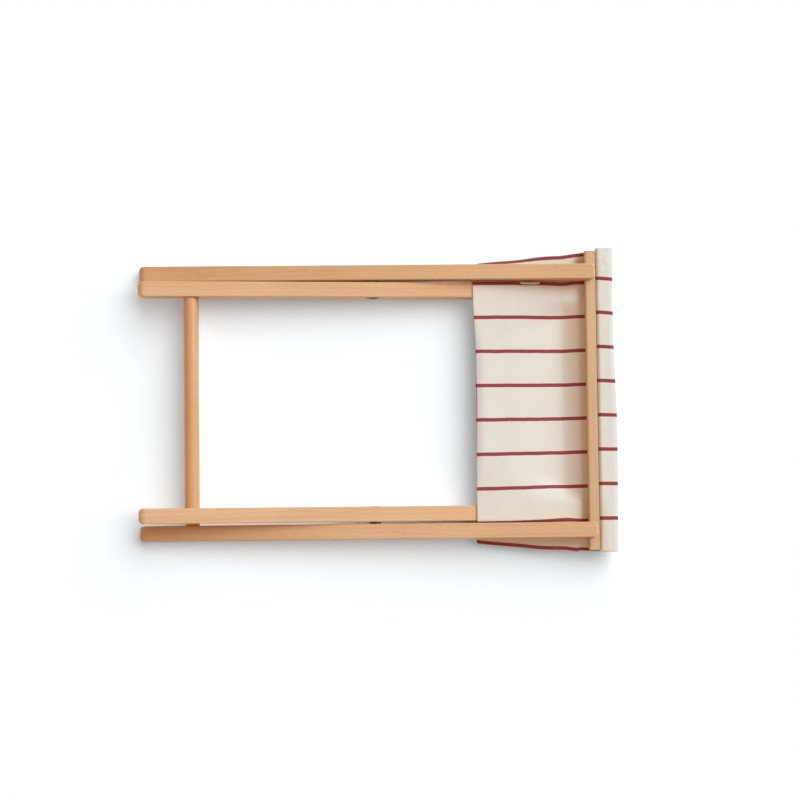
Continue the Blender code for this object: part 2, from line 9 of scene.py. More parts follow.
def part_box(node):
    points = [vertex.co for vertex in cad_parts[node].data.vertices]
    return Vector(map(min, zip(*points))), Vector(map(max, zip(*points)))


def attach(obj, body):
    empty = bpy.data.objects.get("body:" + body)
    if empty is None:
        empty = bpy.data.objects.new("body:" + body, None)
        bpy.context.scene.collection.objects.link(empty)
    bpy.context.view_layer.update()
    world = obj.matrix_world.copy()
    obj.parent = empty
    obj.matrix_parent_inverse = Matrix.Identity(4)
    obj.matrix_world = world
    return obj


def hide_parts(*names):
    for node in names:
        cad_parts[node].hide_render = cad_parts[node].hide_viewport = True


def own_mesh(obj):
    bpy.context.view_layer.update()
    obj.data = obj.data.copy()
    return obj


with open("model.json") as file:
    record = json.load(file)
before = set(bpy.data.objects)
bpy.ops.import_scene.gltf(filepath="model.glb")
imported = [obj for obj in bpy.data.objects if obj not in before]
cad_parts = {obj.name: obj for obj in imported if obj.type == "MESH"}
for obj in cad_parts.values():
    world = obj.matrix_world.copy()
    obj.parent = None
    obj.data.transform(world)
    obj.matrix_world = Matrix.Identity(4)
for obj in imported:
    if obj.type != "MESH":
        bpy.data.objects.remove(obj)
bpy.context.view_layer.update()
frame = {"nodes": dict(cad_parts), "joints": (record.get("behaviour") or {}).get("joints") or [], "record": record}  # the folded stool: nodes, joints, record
record = frame["record"]
print("frame:", len(frame["nodes"]), "nodes")

joints = {joint["name"]: joint for joint in frame["joints"]}
pivot = Vector(joints["fold"]["pos_m"])
footAxis = next(mount["axis"] for mount in record["mounts"] if mount["name"] == "outer_foot_left")
tilt = math.asin(-footAxis[2])  # lean of each leg frame, up for the outer and down for the inner
sinTilt, cosTilt = math.sin(tilt), math.cos(tilt)
sideOf = {"outer": 1, "inner": -1}


def framePlace(side):
    # from a leg frame's own u, y, w (u along the legs, w away from the other frame) to the stool
    return Matrix.Translation(pivot) @ Matrix.Rotation(-side * tilt, 4, "Y") @ Matrix.Diagonal((1, 1, side, 1))


def smoothStep(value, start, end):
    share = min(max((value - start) / (end - start), 0.0), 1.0)
    return share * share * (3 - 2 * share)


# Materials: small helpers that add nodes to a new Principled material

def newMaterial(name, roughness, metallic=0.0, specular=0.5):
    material = bpy.data.materials.new(name)
    material.use_nodes = True
    shader = material.node_tree.nodes["Principled BSDF"]
    shader.inputs["Roughness"].default_value = roughness
    shader.inputs["Metallic"].default_value = metallic
    shader.inputs["Specular IOR Level"].default_value = specular
    return material, shader


def addNode(material, kind, links=None, **settings):
    node = material.node_tree.nodes.new(kind)
    for key, value in settings.items():
        setattr(node, key, value)
    for socket, source in (links or {}).items():
        if isinstance(source, bpy.types.NodeSocket):
            material.node_tree.links.new(source, node.inputs[socket])
        else:
            node.inputs[socket].default_value = source
    return node


def mathNode(material, operation, first, second=0.0, third=0.0):
    return addNode(material, "ShaderNodeMath", {0: first, 1: second, 2: third}, operation=operation).outputs[0]


def rangeNode(material, value, low, high, toLow=0.0, toHigh=1.0):
    links = {"Value": value, "From Min": low, "From Max": high, "To Min": toLow, "To Max": toHigh}
    return addNode(material, "ShaderNodeMapRange", links, interpolation_type="SMOOTHSTEP").outputs[0]


def noiseNode(material, vector, scale, detail=2.0, rough=0.5):
    links = {"Vector": vector, "Scale": scale, "Detail": detail, "Roughness": rough}
    return addNode(material, "ShaderNodeTexNoise", links).outputs["Fac"]


def mixNode(material, share, first, second, blendType="MIX"):
    links = {0: share, 6: first, 7: second}
    return addNode(material, "ShaderNodeMix", links, data_type="RGBA", blend_type=blendType).outputs[2]


def fadeNode(material, value, limits, first, second):
    return mixNode(material, rangeNode(material, value, *limits), first, second)


def bumpNode(material, height, strength, distance):
    links = {"Height": height, "Strength": strength, "Distance": distance}
    return addNode(material, "ShaderNodeBump", links).outputs[0]


def splitNode(material, vector):
    return addNode(material, "ShaderNodeSeparateXYZ", {0: vector}).outputs


def mappedNode(material, vector, links):
    return addNode(material, "ShaderNodeMapping", {"Vector": vector, **links}).outputs[0]


def uvNode(material, name):
    return addNode(material, "ShaderNodeUVMap", uv_map=name).outputs[0]


def objectNode(material):
    return addNode(material, "ShaderNodeTexCoord").outputs["Object"]


def waveNode(material, value, length):
    return mathNode(material, "SINE", mathNode(material, "MULTIPLY", value, 2 * math.pi / length))


def feedShader(material, shader, sources):
    for socket, source in sources.items():
        material.node_tree.links.new(source, shader.inputs[socket])


def colour(red, green, blue):
    return (red, green, blue, 1.0)


def tinted(tone, tint):
    return colour(*[part * share for part, share in zip(tone, tint)])


beech = {
    "pale": (0.790, 0.462, 0.247),
    "warm": (0.690, 0.380, 0.183),
    "fleck": (0.50, 0.24, 0.10),
    "endGrain": (0.50, 0.27, 0.125),
    "rings": 0.0045,  # from growth ring to growth ring
    "heart": (0.034, 0.026),  # how far off the middle of the tree was
    "wave": 0.016,  # how far the rings wander
    "roughness": 0.46, "specular": 0.4,
    "bands": (0.055, 95, 3, 0.55),  # noise: how far it is drawn out along the grain, scale, detail, roughness
    "fibres": (0.055, 900, 2, 0.6), "wander": (0.2, 18, 1), "rays": (0.16, 1500, 0),
    "drift": (9, 1),  # scale and detail of slow changes of tone
    "toneShares": (0.55, 0.45, 0.055),  # of bands, drift and rings
    "warmAt": (0.30, 0.74),  # ranges: from, to, and the shares there
    "fibresAt": (0.45, 0.8, 0.0, 0.20), "raysAt": (0.66, 0.76, 0.0, 0.30), "endAt": (0.6, 0.95, 0.0, 0.5),
    "footShadeAt": (-0.24, 0.02, 1.0, 0.0), "satin": (0.2, 0.8, 0.40, 0.54),
    "rayDepth": -0.6, "relief": (0.10, 0.0004),  # strength and height
}


def makeBeech(name, turn=0.0, alongY=False, shift=0.0, tint=(1, 1, 1), footShade=None):
    # grain runs along X, or along Y on the cross pieces; the feet end can take on painted shade, a darker tone where
    # the outer legs lie low beside the inner legs
    material, shader = newMaterial(name, beech["roughness"], specular=beech["specular"])
    pale, warm, fleck, endGrain = (tinted(beech[tone], tint) for tone in ("pale", "warm", "fleck", "endGrain"))
    coords = addNode(material, "ShaderNodeTexCoord").outputs
    shifted = mappedNode(material, coords["Object"], {
        "Location": (shift, shift * 0.37, shift * 0.71), "Rotation": (0, turn, 0),
    })
    place = splitNode(material, mappedNode(material, coords["Object"], {"Rotation": (0, turn, 0)}))

    def grain(kind):
        drawnOut, *settings = beech[kind]
        scale = (1.0, drawnOut, 1.0) if alongY else (drawnOut, 1.0, 1.0)
        return noiseNode(material, mappedNode(material, shifted, {"Scale": scale}), *settings)

    bands, fibres, wander, rays = (grain(kind) for kind in ("bands", "fibres", "wander", "rays"))
    drift = noiseNode(material, shifted, *beech["drift"])
    wander = mathNode(material, "MULTIPLY_ADD", wander, beech["wave"], beech["heart"][0])
    across = mathNode(material, "ADD", place[0 if alongY else 1], wander)
    down = mathNode(material, "ADD", place[2], beech["heart"][1])
    squares = [mathNode(material, "MULTIPLY", way, way) for way in (across, down)]
    ring = waveNode(material, mathNode(material, "SQRT", mathNode(material, "ADD", *squares)), beech["rings"])
    ofBands, ofDrift, ofRings = beech["toneShares"]
    tone = mathNode(material, "MULTIPLY_ADD", bands, ofBands, mathNode(material, "MULTIPLY", drift, ofDrift))
    tone = mathNode(material, "MULTIPLY_ADD", ring, ofRings, tone)
    surface = fadeNode(material, tone, beech["warmAt"], pale, warm)
    surface = fadeNode(material, fibres, beech["fibresAt"], surface, warm)
    surface = fadeNode(material, rays, beech["raysAt"], surface, fleck)
    facing = mathNode(material, "ABSOLUTE", splitNode(material, coords["Normal"])[1 if alongY else 0])
    surface = fadeNode(material, facing, beech["endAt"], surface, endGrain)
    # painted shade: the feet end is darkened
    if footShade:
        shadedEnd = mixNode(material, 1.0, surface, colour(*footShade), "MULTIPLY")
        surface = fadeNode(material, place[0], beech["footShadeAt"], surface, shadedEnd)
    relief = mathNode(material, "MULTIPLY_ADD", rays, beech["rayDepth"], fibres)
    feedShader(material, shader, {
        "Base Color": surface,
        "Roughness": rangeNode(material, fibres, *beech["satin"]),
        "Normal": bumpNode(material, relief, *beech["relief"]),
    })
    return material


canvas = {
    "cream": (0.815, 0.717, 0.632),
    "shade": (0.735, 0.648, 0.560),
    "red": colour(0.37, 0.066, 0.070),
    "darkRed": colour(0.27, 0.042, 0.046),
    "pitch": 0.0396,  # from stripe to stripe
    "stripe": 0.0042,
    "stripeEdge": (0.9, 1.1),  # where it fades, as shares of its half width
    "stripesTo": (0.171, 0.172),  # where they end on the sleeves
    "hemStripe": (0.0046, 0.0005),  # where the red along each edge begins and ends, from the edge
    "hemFade": 0.0002,
    "waver": (60, 2), "mottle": (35, 3), "slubNoise": (1, 2),  # scale and detail
    "slub": (60, 1400),  # scale along a thread and across it
    "waverBy": 0.0008, "thread": 0.00075,
    "sleeveLight": (1.06, 1.09, 1.12),  # painted light: the sleeves' copy of the same cloth is lighter and cooler, for how they are lit
    "railShade": colour(0.95, 0.92, 0.89),  # painted shade: how the seat darkens where it goes under the rail, standing in for the rail's shadow
    "railShadeAt": (0.034, 0.080, 1.0, 0.0),
    "sleeveSideShade": colour(0.84, 0.83, 0.84),  # and painted shade on the sleeves along their outer side, where the key light falls hardest
    "sleeveSideShadeAt": (-0.015, -0.0105),
    "shadeAt": (0.55, 1.0, 0.0, 0.55),  # ranges: from, to, and the shares there
    "weaveAt": (-1, 1, 0.07, 0.0), "darkRedAt": (0.7, 1.3),
    "roughness": 0.92, "specular": 0.2, "sheen": 0.12, "sheenRoughness": 0.5,
    "slubRise": 0.8, "relief": (0.15, 0.0002),  # strength and height
}


def makeCanvas(name, edge=None):
    # the "flat" map holds metres along and across the cloth as it was cut, "woven" the same with the stripes' drift;
    # edge, half the seat's width, is left out for the sleeves
    material, shader = newMaterial(name, canvas["roughness"], specular=canvas["specular"])
    shader.inputs["Sheen Weight"].default_value = canvas["sheen"]
    shader.inputs["Sheen Roughness"].default_value = canvas["sheenRoughness"]
    flat = uvNode(material, "flat")
    along, across = splitNode(material, flat)[:2]
    reach = mathNode(material, "ABSOLUTE", across)
    waver = noiseNode(material, flat, *canvas["waver"])
    waver = mathNode(material, "MULTIPLY_ADD", waver, canvas["waverBy"], -canvas["waverBy"] / 2)
    bent = mathNode(material, "ADD", splitNode(material, uvNode(material, "woven"))[1], waver)
    phase = mathNode(material, "FRACT", mathNode(material, "DIVIDE", bent, canvas["pitch"]))
    apart = mathNode(material, "ABSOLUTE", mathNode(material, "SUBTRACT", phase, 0.5))
    halfStripe = canvas["stripe"] / canvas["pitch"] / 2
    stripe = rangeNode(material, apart, *[halfStripe * share for share in canvas["stripeEdge"]], 1.0, 0.0)
    if edge:
        begins, ends = (edge - place for place in canvas["hemStripe"])
        fade = canvas["hemFade"]
        hem = mathNode(material, "MULTIPLY", rangeNode(material, reach, begins - fade, begins + fade),
                       rangeNode(material, reach, ends - fade, ends + fade, 1.0, 0.0))
        stripe = mathNode(material, "MAXIMUM", stripe, hem)
    else:
        onSleeve = rangeNode(material, reach, *canvas["stripesTo"], 1.0, 0.0)
        stripe = mathNode(material, "MULTIPLY", stripe, onSleeve)
    # weft and warp threads, with slubs
    weave = mathNode(material, "MULTIPLY", *[waveNode(material, way, canvas["thread"]) for way in (along, across)])
    slow, quick = canvas["slub"]
    slub = mathNode(material, "ADD", *[
        noiseNode(material, mappedNode(material, flat, {"Scale": scale}), *canvas["slubNoise"])
        for scale in ((slow, quick, 1), (quick, slow, 1))])
    mottle = noiseNode(material, flat, *canvas["mottle"])
    tone = mathNode(material, "MULTIPLY_ADD", mottle, 0.5, mathNode(material, "MULTIPLY", slub, 0.5))
    # the sleeves take the lighter tone: painted light
    pale, shade = (tinted(canvas[key], (1, 1, 1) if edge else canvas["sleeveLight"]) for key in ("cream", "shade"))
    cream = fadeNode(material, tone, canvas["shadeAt"], pale, shade)
    cream = fadeNode(material, weave, canvas["weaveAt"], cream, shade)
    red = fadeNode(material, slub, canvas["darkRedAt"], canvas["red"], canvas["darkRed"])
    dyed = mixNode(material, stripe, cream, red)
    # painted shade: darker towards the rail on the seat, and along the outer side on the sleeves
    shadeKey = "railShade" if edge else "sleeveSideShade"
    shadeAndWear = mixNode(material, 1.0, dyed, canvas[shadeKey], "MULTIPLY")
    dyed = fadeNode(material, along, canvas[shadeKey + "At"], dyed, shadeAndWear)
    relief = mathNode(material, "MULTIPLY_ADD", slub, canvas["slubRise"], weave)
    feedShader(material, shader, {"Base Color": dyed, "Normal": bumpNode(material, relief, *canvas["relief"])})
    return material


bronze = {
    "dark": colour(0.075, 0.045, 0.024), "shadeAndWear": colour(0.22, 0.13, 0.065), "wornAt": (0.45, 0.75),
    "roughness": 0.38, "metallic": 0.75, "gloss": (0.3, 0.7, 0.30, 0.48),
    "patch": (260, 3), "pits": (1500, 2), "relief": (0.08, 0.0002),
}


def makeBronze():
    material, shader = newMaterial("darkBronze", bronze["roughness"], metallic=bronze["metallic"])
    place = objectNode(material)
    patch = noiseNode(material, place, *bronze["patch"])
    feedShader(material, shader, {
        "Base Color": fadeNode(material, patch, bronze["wornAt"], bronze["dark"], bronze["shadeAndWear"]),
        "Roughness": rangeNode(material, patch, *bronze["gloss"]),
        "Normal": bumpNode(material, noiseNode(material, place, *bronze["pits"]), *bronze["relief"]),
    })
    return material


zinc = {
    "bright": colour(0.62, 0.62, 0.60), "dull": colour(0.42, 0.42, 0.41), "patch": (420, 4),
    "roughness": 0.32, "gloss": (0.3, 0.7, 0.24, 0.42),
}


def makeZinc():
    material, shader = newMaterial("zincSteel", zinc["roughness"], metallic=1.0)
    patch = noiseNode(material, objectNode(material), *zinc["patch"])
    feedShader(material, shader, {
        "Base Color": mixNode(material, patch, zinc["bright"], zinc["dull"]),
        "Roughness": rangeNode(material, patch, *zinc["gloss"]),
    })
    return material


tape = {
    "cream": colour(0.95, 0.90, 0.82), "shade": colour(0.84, 0.75, 0.63), "shadeAt": (0.3, 0.9),
    "rib": 0.0007, "ribShare": 0.15, "fuzz": (700, 2), "relief": (0.3, 0.0002),
    "roughness": 0.85, "specular": 0.25,
}


def makeTape():
    material, shader = newMaterial("tabTape", tape["roughness"], specular=tape["specular"])
    flat = uvNode(material, "flat")
    rib = waveNode(material, splitNode(material, flat)[0], tape["rib"])
    tone = mathNode(material, "MULTIPLY_ADD", rib, tape["ribShare"], noiseNode(material, flat, *tape["fuzz"]))
    feedShader(material, shader, {
        "Base Color": fadeNode(material, tone, tape["shadeAt"], tape["cream"], tape["shade"]),
        "Normal": bumpNode(material, rib, *tape["relief"]),
    })
    return material


thread = {
    "light": colour(0.78, 0.70, 0.58), "dark": colour(0.58, 0.49, 0.37), "twist": (2600, 1),
    "roughness": 0.8, "specular": 0.3,
}


def makeThread():
    material, shader = newMaterial("sewingThread", thread["roughness"], specular=thread["specular"])
    twist = noiseNode(material, objectNode(material), *thread["twist"])
    feedShader(material, shader, {"Base Color": mixNode(material, twist, thread["light"], thread["dark"])})
    return material


darkBronze, zincSteel, tabTape, sewingThread = makeBronze(), makeZinc(), makeTape(), makeThread()
print("materials: bronze, zinc, tape, thread")


def addObject(name, data):
    added = bpy.data.objects.new(name, data)
    bpy.context.scene.collection.objects.link(added)
    return added


def addShape(name, shape, material):
    data = bpy.data.meshes.new(name)
    shape.to_mesh(data)
    shape.free()
    data.materials.append(material)
    return addObject(name, data)


def addPiece(name, shape, material, body, replaced=None, sharp=40, weighted=False):
    # turns a finished bmesh into a piece that rides on a body
    piece = addShape(name, shape, material)
    piece.data.shade_smooth()
    piece.data.set_sharp_from_angle(angle=math.radians(sharp))
    if weighted:
        piece.modifiers.new("flatFaces", "WEIGHTED_NORMAL").keep_sharp = True
    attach(piece, body)
    if replaced:
        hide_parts(replaced)
    return piece


# Wooden pieces: the shapes of the frame with eased edges and their own grain

wood = {"merge": 1e-6, "flat": 0.5, "sharp": 38, "ease": 0.0004, "steps": 2}


def mergedCopy(node):
    shape = bmesh.new()
    shape.from_mesh(frame["nodes"][node].data)
    bmesh.ops.remove_doubles(shape, verts=shape.verts, dist=wood["merge"])
    bmesh.ops.dissolve_limit(shape, angle_limit=math.radians(wood["flat"]), verts=shape.verts, edges=shape.edges)
    return shape


def easeEdges(shape):
    limit = math.radians(wood["sharp"])
    edges = [edge for edge in shape.edges if edge.is_manifold and edge.calc_face_angle() > limit]
    bmesh.ops.bevel(shape, geom=edges, offset=wood["ease"], offset_type="OFFSET", affect="EDGES",
                    segments=wood["steps"], profile=0.5, material=-1, clamp_overlap=True)


def frameOf(node):
    return node.split("_")[0]


def inFrame(shape, node, reshape):
    # reshapes the points in a leg frame's own u, y, w
    place = framePlace(sideOf[frameOf(node)])
    bmesh.ops.transform(shape, matrix=place.inverted(), verts=shape.verts)
    reshape(shape)
    bmesh.ops.transform(shape, matrix=place, verts=shape.verts)


def reachOf(shape, axis):
    places = [vert.co[axis] for vert in shape.verts]
    return min(places), max(places)


def addWood(node, shape, material):
    addPiece(node + "_wood", shape, material, frameOf(node) + "_frame", node, weighted=True)


leg = {
    "width": 0.0175, "depth": 0.021, "arris": 0.0025, "crisp": 0.0012, "slop": 1e-5,
    "foot": 0.008, "tip": 0.0045,  # lengths of the rounded ends
    "footMoves": 0.0105, "tipMoves": 0.010,  # lengths that move whole where a leg is longer or planed
}


def crispEdges(shape):
    # the long edges are rounded a little less than on the plain leg, between its rounded ends
    start, end = reachOf(shape, 0)
    middle = sum(reachOf(shape, 1)) / 2
    share, slop = leg["crisp"] / leg["arris"], leg["slop"]
    for vert in shape.verts:
        y, w = vert.co.y - middle, vert.co.z
        intoY, intoW = abs(y) - leg["width"] / 2 + leg["arris"], abs(w) - leg["depth"] / 2 + leg["arris"]
        straight = start + leg["foot"] - slop < vert.co.x < end - leg["tip"] + slop
        if straight and min(intoY, intoW) > -slop:
            vert.co.y = middle + math.copysign(leg["width"] / 2 - leg["crisp"] + intoY * share, y)
            vert.co.z = math.copysign(leg["depth"] / 2 - leg["crisp"] + intoW * share, w)


def makeLeg(node, material, planed, longer):
    shape = mergedCopy(node)
    inFrame(shape, node, crispEdges)
    foot, tip = reachOf(shape, 0)
    for vert in shape.verts:
        if vert.co.x > tip - leg["tipMoves"]:
            vert.co.x -= planed
        elif vert.co.x < foot + leg["footMoves"]:
            vert.co.x -= longer
    easeEdges(shape)
    addWood(node, shape, material)


batten = {"slim": 0.953, "low": 0.83, "round": 0.0030}


def makeBatten(node, material):
    shape = mergedCopy(node)
    easeEdges(shape)

    def roundOff(shape):
        start, foot = reachOf(shape, 0)[0], reachOf(shape, 2)[0]
        for vert in shape.verts:
            vert.co.x = start + (vert.co.x - start) * batten["slim"]
            vert.co.z = foot + (vert.co.z - foot) * batten["low"]
        radius, top = batten["round"], reachOf(shape, 2)[1]
        for vert in shape.verts:
            out = Vector((vert.co.x - start - radius, vert.co.z - top + radius))
            if out.x < 0 < out.y and out.length > radius:
                vert.co.x = start + radius + out.x / out.length * radius
                vert.co.z = top - radius + out.y / out.length * radius

    inFrame(shape, node, roundOff)
    addWood(node, shape, material)


rail = {"slim": 0.965, "cuts": 7, "crown": 3.6, "level": 0.0021, "band": 0.0030, "longer": 0.0012}


def makeRail(node, material):
    # its outer face falls away a little towards the pivot
    shape = mergedCopy(node)
    easeEdges(shape)

    def crown(shape):
        start, end = reachOf(shape, 0)
        for cut in range(1, rail["cuts"] + 1):
            at = start + (end - start) * cut / (rail["cuts"] + 1)
            bmesh.ops.bisect_plane(shape, geom=shape.verts[:] + shape.edges[:] + shape.faces[:], dist=wood["merge"],
                                   plane_co=(at, 0, 0), plane_no=(1, 0, 0))
        top = reachOf(shape, 2)[1]
        for vert in shape.verts:
            near = smoothStep(vert.co.z, top - rail["band"], top - rail["band"] / 2)
            vert.co.z -= near * rail["crown"] * max(end - rail["level"] - vert.co.x, 0.0) ** 2
            vert.co.x = end + (vert.co.x - end) * rail["slim"]
            vert.co.y += rail["longer"] * (vert.co.y > 0)

    inFrame(shape, node, crown)
    if sideOf[frameOf(node)] < 0:
        bmesh.ops.recalc_face_normals(shape, faces=shape.faces)
    addWood(node, shape, material)


dowel = {"sides": 64, "ease": 0.0008, "steps": 3, "rimAngle": 1.0, "racked": 0.0012}


def makeDowel(node, material):
    low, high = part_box(node)
    radius, length = (high.x - low.x) / 2, high.y - low.y
    shape = bmesh.new()
    bmesh.ops.create_cone(shape, cap_ends=True, segments=dowel["sides"], radius1=radius, radius2=radius, depth=length)
    rims = [edge for edge in shape.edges if edge.calc_face_angle() > dowel["rimAngle"]]
    bmesh.ops.bevel(shape, geom=rims, offset=dowel["ease"], affect="EDGES", segments=dowel["steps"], profile=0.5,
                    material=-1)
    bmesh.ops.rotate(shape, verts=shape.verts, matrix=Matrix.Rotation(math.pi / 2, 3, "X"))
    bmesh.ops.translate(shape, verts=shape.verts, vec=(low + high) / 2)
    for vert in shape.verts:
        vert.co.x -= dowel["racked"] * (vert.co.y - low.y) / length
    addWood(node, shape, material)


legFinish = {  # tint, painted shade on the feet end, how much is planed off the top, how much longer at the foot
    "outer_leg_left": ((0.97, 0.97, 0.97), (0.86, 0.80, 0.76), 0.0011, 0.0010),
    "outer_leg_right": ((0.98, 0.98, 0.99), (0.75, 0.69, 0.62), 0.0024, 0.0),
    "inner_leg_left": ((1.0, 1.0, 1.02), None, 0.0, 0.0010),
    "inner_leg_right": ((1.02, 1.03, 1.08), None, 0.0, 0.0),
}
crossPieces = {
    "seat_rail": (makeRail, (0.90, 1.01, 1.10)),
    "cloth_batten": (makeBatten, (1.0, 1.0, 1.0)),
    "stretcher": (makeDowel, (0.89, 0.79, 0.71)),
}
grainShift = {"outer": (0.0, 0.5), "inner": (0.31, 0.73)}  # on the legs and on the cross pieces

for frameName, (legShift, crossShift) in grainShift.items():
    for node in (frameName + "_leg_left", frameName + "_leg_right"):
        tint, footShade, planed, longer = legFinish[node]
        legBeech = makeBeech(node + "Beech", sideOf[frameName] * tilt, shift=legShift, tint=tint, footShade=footShade)
        makeLeg(node, legBeech, planed, longer)
    for kind, (makePiece, tint) in crossPieces.items():
        node = f"{frameName}_{kind}"
        makePiece(node, makeBeech(node + "Beech", alongY=True, shift=crossShift, tint=tint))
print("wood: legs, rails, battens, dowels")


# Pivots and screws

turning = {"sides": 64, "merge": 1e-6, "slop": 1e-5}


def turned(profile):
    # spins a list of (radius, height) points, top to bottom, round the Z axis
    shape = bmesh.new()
    verts = [shape.verts.new((radius, 0, height)) for radius, height in profile]
    edges = [shape.edges.new(pair) for pair in zip(verts, verts[1:])]
    bmesh.ops.spin(shape, geom=verts + edges, cent=(0, 0, 0), axis=(0, 0, 1), angle=2 * math.pi,
                   steps=turning["sides"], use_merge=True, use_duplicate=False)
    bmesh.ops.remove_doubles(shape, verts=shape.verts, dist=turning["merge"])
    bmesh.ops.recalc_face_normals(shape, faces=shape.faces)
    return shape


def easedCorner(radius, height, piece):
    # an outer top corner rounded from the flat top down to the side
    ease, steps = piece["ease"], piece["easeSteps"]
    return [(radius - ease + ease * math.sin(turn), height - ease + ease * math.cos(turn))
            for turn in (math.pi / 2 * step / steps for step in range(steps + 1))]


def cutSocket(shape, radius, heights, acrossFlats):
    # makes the two rings of a round socket six-sided
    for vert in shape.verts:
        onRing = abs(math.hypot(vert.co.x, vert.co.y) - radius) < turning["slop"]
        if onRing and min(abs(vert.co.z - height) for height in heights) < turning["merge"]:
            fromFlat = math.atan2(vert.co.y, vert.co.x) % (math.pi / 3) - math.pi / 6
            vert.co.xy = vert.co.xy.normalized() * (acrossFlats / 2 / math.cos(fromFlat))


def placeOnPivot(shape, y, hand, outwards):
    turn = (-1 if outwards else 1) * hand * math.pi / 2
    bmesh.ops.rotate(shape, verts=shape.verts, matrix=Matrix.Rotation(turn, 3, "X"))
    bmesh.ops.translate(shape, verts=shape.verts, vec=(pivot.x, y, pivot.z))


def addFitting(node, shape):
    addPiece(node + "_turned", shape, darkBronze, "inner_frame", node)


bolt = {"shank": 0.003, "head": 0.0018, "socket": 0.0042, "socketDepth": 0.0011, "ease": 0.0004, "easeSteps": 3}


def makeBolt(hand, which):
    low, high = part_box("pivot_bolt_" + which)
    headRadius = (high.x - low.x) / 2
    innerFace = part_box("inner_leg_" + which)[0 if hand > 0 else 1].y
    near, far = sorted((abs(low.y), abs(high.y)))
    headTop, length, shank = abs(innerFace) - near, far - abs(innerFace), bolt["shank"]
    under = headTop - bolt["head"]
    socket, bottom = bolt["socket"] / 2, headTop - bolt["socketDepth"]
    corner = easedCorner(headRadius, headTop, bolt)
    shape = turned([(0, bottom), (socket, bottom), (socket, headTop), *corner,
                    (headRadius, under), (shank, under), (shank, -length), (0, -length)])
    cutSocket(shape, socket, (headTop, bottom), bolt["socket"])
    placeOnPivot(shape, innerFace, hand, outwards=False)
    addFitting("pivot_bolt_" + which, shape)


nut = {
    "barrel": 0.0045, "bore": 0.0033, "cap": 0.0018, "ease": 0.0004, "easeSteps": 3,
    "socketRing": 0.0022, "socket": 0.0042, "socketDepth": 0.0007,
}


def makeNut(hand, which):
    low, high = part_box("pivot_nut_" + which)
    capRadius = (high.x - low.x) / 2
    top, length = max(abs(low.y), abs(high.y)), high.y - low.y
    corner = easedCorner(capRadius, 0.0, nut)
    barrel, bore, under = nut["barrel"], nut["bore"], -nut["cap"]
    ring, bottom = nut["socketRing"], -nut["socketDepth"]
    shape = turned([(0, bottom), (ring, bottom), (ring, 0), *corner, (capRadius, under), (barrel, under),
                    (barrel, -length), (bore, -length), (bore, under), (0, under)])
    cutSocket(shape, ring, (0, bottom), nut["socket"])
    placeOnPivot(shape, hand * top, hand, outwards=True)
    addFitting("pivot_nut_" + which, shape)


washer = {"bore": 0.0033, "ease": 0.0002, "easeSteps": 2}


def makeWasher(hand, which):
    low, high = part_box("pivot_washer_" + which)
    radius, half = (high.x - low.x) / 2, (high.y - low.y) / 2
    corner = easedCorner(radius, half, washer)
    lower = [(out, -up) for out, up in reversed(corner)]
    bore = washer["bore"]
    shape = turned([(bore, half), *corner, *lower, (bore, -half), (bore, half)])
    placeOnPivot(shape, (low.y + high.y) / 2, hand, outwards=True)
    addFitting("pivot_washer_" + which, shape)


for hand, which in ((1, "left"), (-1, "right")):
    makeBolt(hand, which)
    makeNut(hand, which)
    makeWasher(hand, which)
for node in frame["nodes"].values():
    if "_screw_" in node.name:
        node.data.materials.clear()
        node.data.materials.append(zincSteel)
print("fittings: bolts, nuts, washers, screws")


# Cloth: one striped canvas, folded between the frames, in two layers and two sleeves

cloth = {
    "thickness": 0.00055, "width": 0.348,
    "layerNear": 0.0006,  # from a leg to the middle of the nearer layer
    "layerFar": 0.0015,  # from a leg to the middle of the farther layer
    "lean": 0.00012,
    "across": 0.0015,  # spacing of points over the width
    "along": 0.0020,  # and from the fold to the rail
    "alongFine": 0.0010,  # close to the rail
    "fineFrom": 0.034,
    "stepsLoop": 8, "bendSteps": 8, "topSteps": 40,
    "toFold": 0.160,  # from the hinges to the fold
    "upperSag": 0.0085, "lowerSag": 0.0100,
    "sagRise": (0.15, 0.80),  # as shares of the way from the fold to the rail
    "sagFall": (0.78, 1.01),
    "hollow": (0.40, 0.50),
    "foldRoll": 0.003, "rollTo": 0.25,
    "loopGap": 0.0003, "foldDrop": 0.0013, "foldSoft": 0.007,
}
innerLow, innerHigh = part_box("inner_leg_left")
outerLow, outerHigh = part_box("outer_leg_left")
hingeAt = Vector(joints["seat_front_edge"]["pos_m"])
hinge, hingeInFrame = hingeAt - pivot, framePlace(1).inverted() @ hingeAt
railStart = 0.2455  # where the rails begin, from the pivot
rampStart = 0.2402  # where the cloth starts to dip under the rail
foldX = hinge.x - cloth["toFold"]


def clothHeights(x, layer):
    # heights over the inner legs and under the outer legs; layer 1 is the upper one
    legTop = (leg["depth"] / 2 - x * sinTilt) / cosTilt
    over = legTop + cloth["layerFar" if layer > 0 else "layerNear"]
    under = -legTop - cloth["layerNear" if layer > 0 else "layerFar"]
    onRail = layer * (x * sinTilt + hingeInFrame.z) / cosTilt
    atRail = smoothStep(x, rampStart, railStart)
    return over + (onRail - over) * atRail, under + (onRail - under) * atRail


def lineLength(points):
    return sum(math.dist(a, b) for a, b in zip(points, points[1:]))


